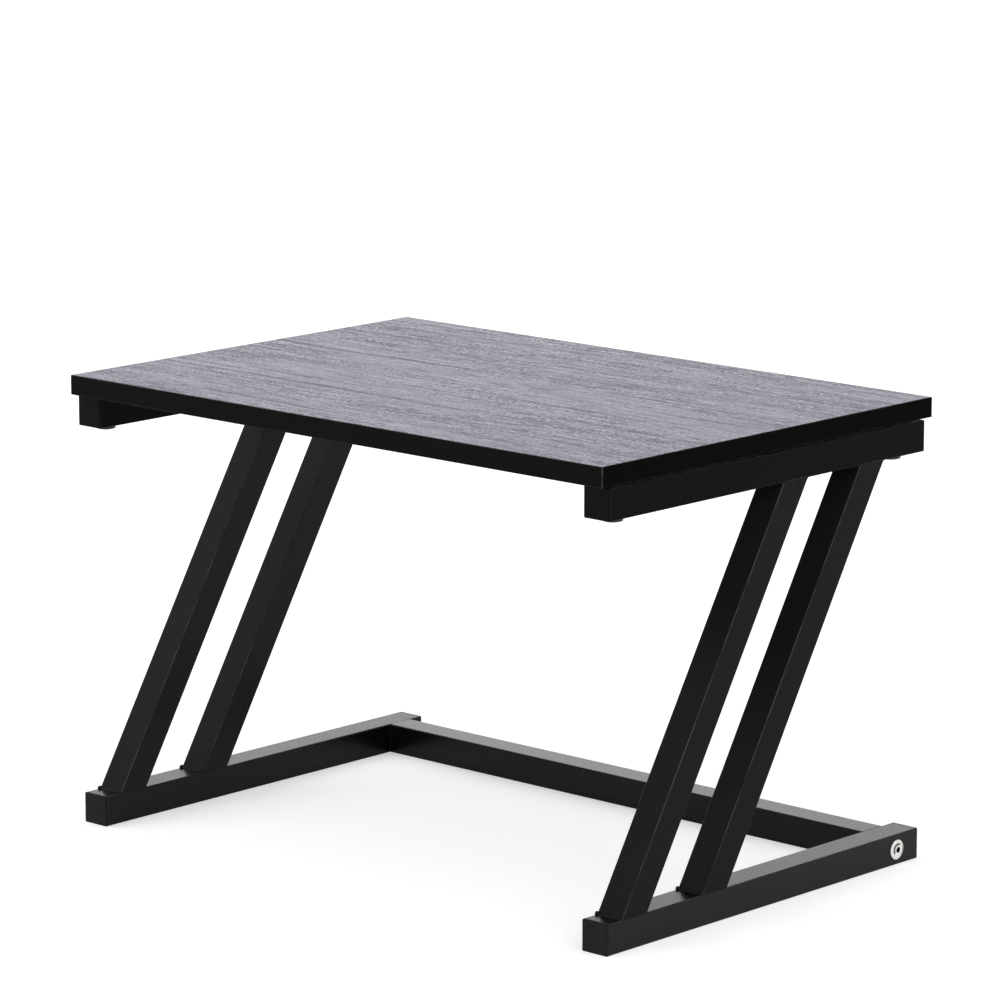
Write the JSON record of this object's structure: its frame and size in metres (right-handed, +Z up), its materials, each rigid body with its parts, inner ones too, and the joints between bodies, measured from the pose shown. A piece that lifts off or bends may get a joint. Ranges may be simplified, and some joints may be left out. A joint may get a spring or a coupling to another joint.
{
  "type": "microwave rack",
  "caption": "Wood-grain board on Z-shaped side frames of square steel tube, tied by a low rear bar, with an open bay below for a countertop oven.",
  "frame": {"origin": "on the floor under the middle of the board, the bottom centre of the rack's box", "axes": "+X to the right of someone facing the rack, +Y to the rear, +Z up"},
  "size_m": [0.5738, 0.392, 0.373],
  "materials": {
    "board_laminate": "black wood-grain laminate, satin",
    "edge_band": "black edge band, fine grain",
    "powder_coat": "black powder coat, satin",
    "black_plastic": "moulded, slightly rough",
    "bright_bolt": "bright nickel plate",
    "black_bolt": "black oxide, satin",
    "zinc_insert": "zinc plate"
  },
  "bodies": {
    "root": {"cross_bar_bolt_left": "bright_bolt", "cross_bar_bolt_right": "bright_bolt", "cross_bar_nut_left": "zinc_insert", "cross_bar_nut_right": "zinc_insert", "cross_bar_plate_left": "zinc_insert", "cross_bar_plate_right": "zinc_insert", "edge_band_front": "edge_band", "edge_band_left": "edge_band", "edge_band_rear": "edge_band", "edge_band_right": "edge_band", "foot_plug_front_left": "black_plastic", "foot_plug_front_right": "black_plastic", "foot_plug_rear_left": "black_plastic", "foot_plug_rear_right": "black_plastic", "foot_rail_left": "powder_coat", "foot_rail_right": "powder_coat", "front_strut_foot_weld_left": "powder_coat", "front_strut_foot_weld_right": "powder_coat", "front_strut_left": "powder_coat", "front_strut_right": "powder_coat", "front_strut_top_weld_left": "powder_coat", "front_strut_top_weld_right": "powder_coat", "panel_bolt_front_left": "black_bolt", "panel_bolt_front_right": "black_bolt", "panel_bolt_rear_left": "black_bolt", "panel_bolt_rear_right": "black_bolt", "panel_core": "board_laminate", "panel_insert_front_left": "zinc_insert", "panel_insert_front_right": "zinc_insert", "panel_insert_rear_left": "zinc_insert", "panel_insert_rear_right": "zinc_insert", "rear_cross_bar": "powder_coat", "rear_strut_foot_weld_left": "powder_coat", "rear_strut_foot_weld_right": "powder_coat", "rear_strut_left": "powder_coat", "rear_strut_right": "powder_coat", "rear_strut_top_weld_left": "powder_coat", "rear_strut_top_weld_right": "powder_coat", "top_plug_front_left": "black_plastic", "top_plug_front_right": "black_plastic", "top_plug_rear_left": "black_plastic", "top_plug_rear_right": "black_plastic", "top_rail_left": "powder_coat", "top_rail_right": "powder_coat"}
  },
  "joints": []
}
